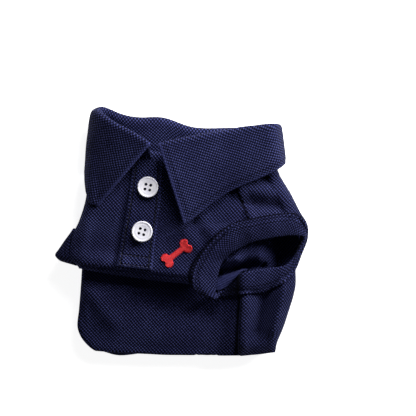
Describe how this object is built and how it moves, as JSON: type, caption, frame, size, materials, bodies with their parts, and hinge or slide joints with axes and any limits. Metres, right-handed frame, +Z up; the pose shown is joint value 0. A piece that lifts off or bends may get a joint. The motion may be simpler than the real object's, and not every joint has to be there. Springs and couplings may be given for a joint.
{
  "type": "folded dog polo shirt",
  "caption": "Small dog's polo shirt in navy pique knit with a button placket and flat collar, folded and lying on its back with the armhole open.",
  "frame": {"origin": "on the flat underside, below the middle of the folded shirt's box", "axes": "+Z up through the layers, +Y towards the neck, +X to the right seen from above"},
  "size_m": [0.1396, 0.1388, 0.0281],
  "materials": {
    "navy_pique": "matte pique knit",
    "navy_collar": "matte flat-knit collar",
    "button": "pearly white",
    "embroidery": "satin-stitched red thread",
    "thread": "navy sewing thread"
  },
  "bodies": {
    "root": {"front": "navy_pique", "back": "navy_pique", "collar": "navy_collar", "placket": "navy_pique", "sleeve_right": "navy_pique", "sleeve_right_facing": "navy_pique", "sleeve_left": "navy_pique", "button_upper": "button", "button_lower": "button", "folded_tail": "navy_pique"}
  },
  "joints": []
}
